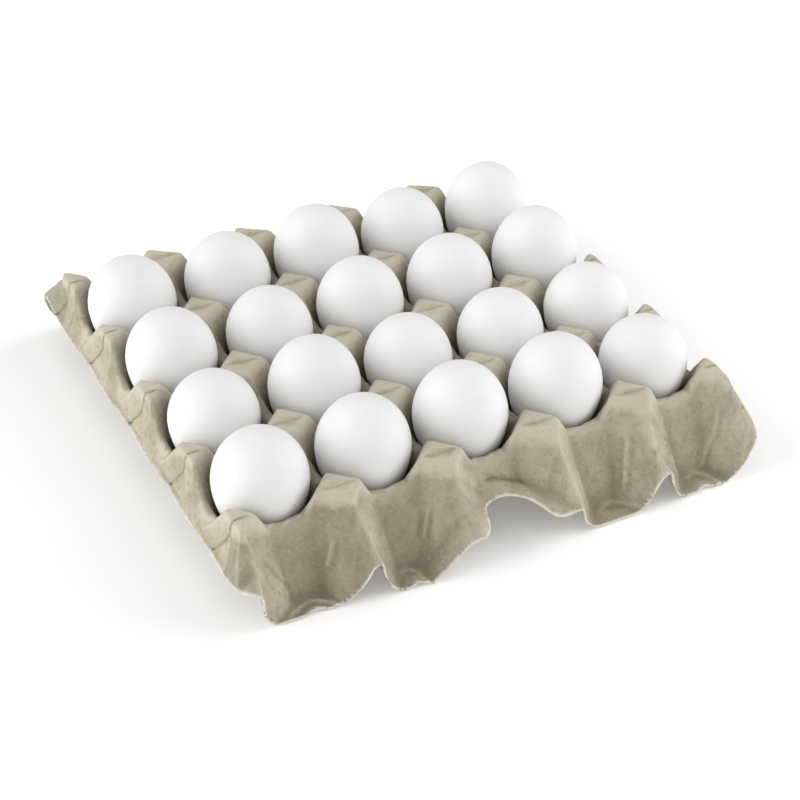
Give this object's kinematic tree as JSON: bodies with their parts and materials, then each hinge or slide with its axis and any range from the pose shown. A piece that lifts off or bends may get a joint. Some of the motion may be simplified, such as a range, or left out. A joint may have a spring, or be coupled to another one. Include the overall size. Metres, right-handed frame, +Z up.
{
  "type": "egg tray with eggs",
  "caption": "Moulded grey pulp egg tray with flared skirts and finger arches, its cells filled with white hen's eggs standing blunt end up.",
  "frame": {"origin": "centre of the footprint, on the surface that the tray stands on", "axes": "+X along the rows of five eggs, +Y across the four rows from the front skirt to the back one, +Z up"},
  "size_m": [0.2486, 0.249, 0.0672],
  "materials": {
    "pulp": "matt grey-beige moulded paper pulp",
    "shell": "matt white eggshell"
  },
  "bodies": {
    "root": {"tray": "pulp", "egg_1_1": "shell", "egg_1_2": "shell", "egg_1_3": "shell", "egg_1_4": "shell", "egg_1_5": "shell", "egg_2_1": "shell", "egg_2_2": "shell", "egg_2_3": "shell", "egg_2_4": "shell", "egg_2_5": "shell", "egg_3_1": "shell", "egg_3_2": "shell", "egg_3_3": "shell", "egg_3_4": "shell", "egg_3_5": "shell", "egg_4_1": "shell", "egg_4_2": "shell", "egg_4_3": "shell", "egg_4_4": "shell", "egg_4_5": "shell"}
  },
  "joints": []
}
